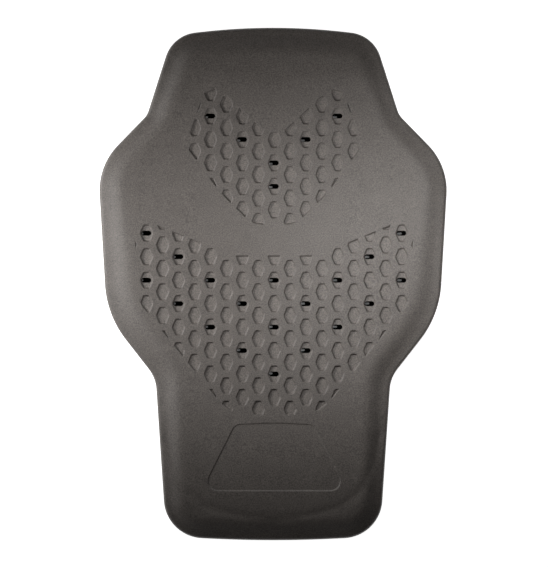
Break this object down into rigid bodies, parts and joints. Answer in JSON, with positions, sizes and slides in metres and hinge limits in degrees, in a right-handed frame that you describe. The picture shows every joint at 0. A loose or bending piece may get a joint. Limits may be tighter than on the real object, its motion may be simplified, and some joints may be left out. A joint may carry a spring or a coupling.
{
  "type": "back protector",
  "caption": "Shouldered foam back protector pad for a jacket pocket, with sloped margins, clipped hexagonal recesses, vent slots and a plain sunk panel.",
  "frame": {"origin": "the middle of the bounding box's underside: on the surface that the pad lies on, under its middle", "axes": "+Z out of the patterned face, +Y towards the wearer's head, +X to the right of someone who looks at the patterned face"},
  "size_m": [0.2966, 0.4404, 0.0233],
  "materials": {
    "moulded_foam": "dark warm grey closed-cell foam with a fine-grained satin moulding skin"
  },
  "bodies": {
    "root": {"foam_panel": "moulded_foam"}
  },
  "joints": []
}
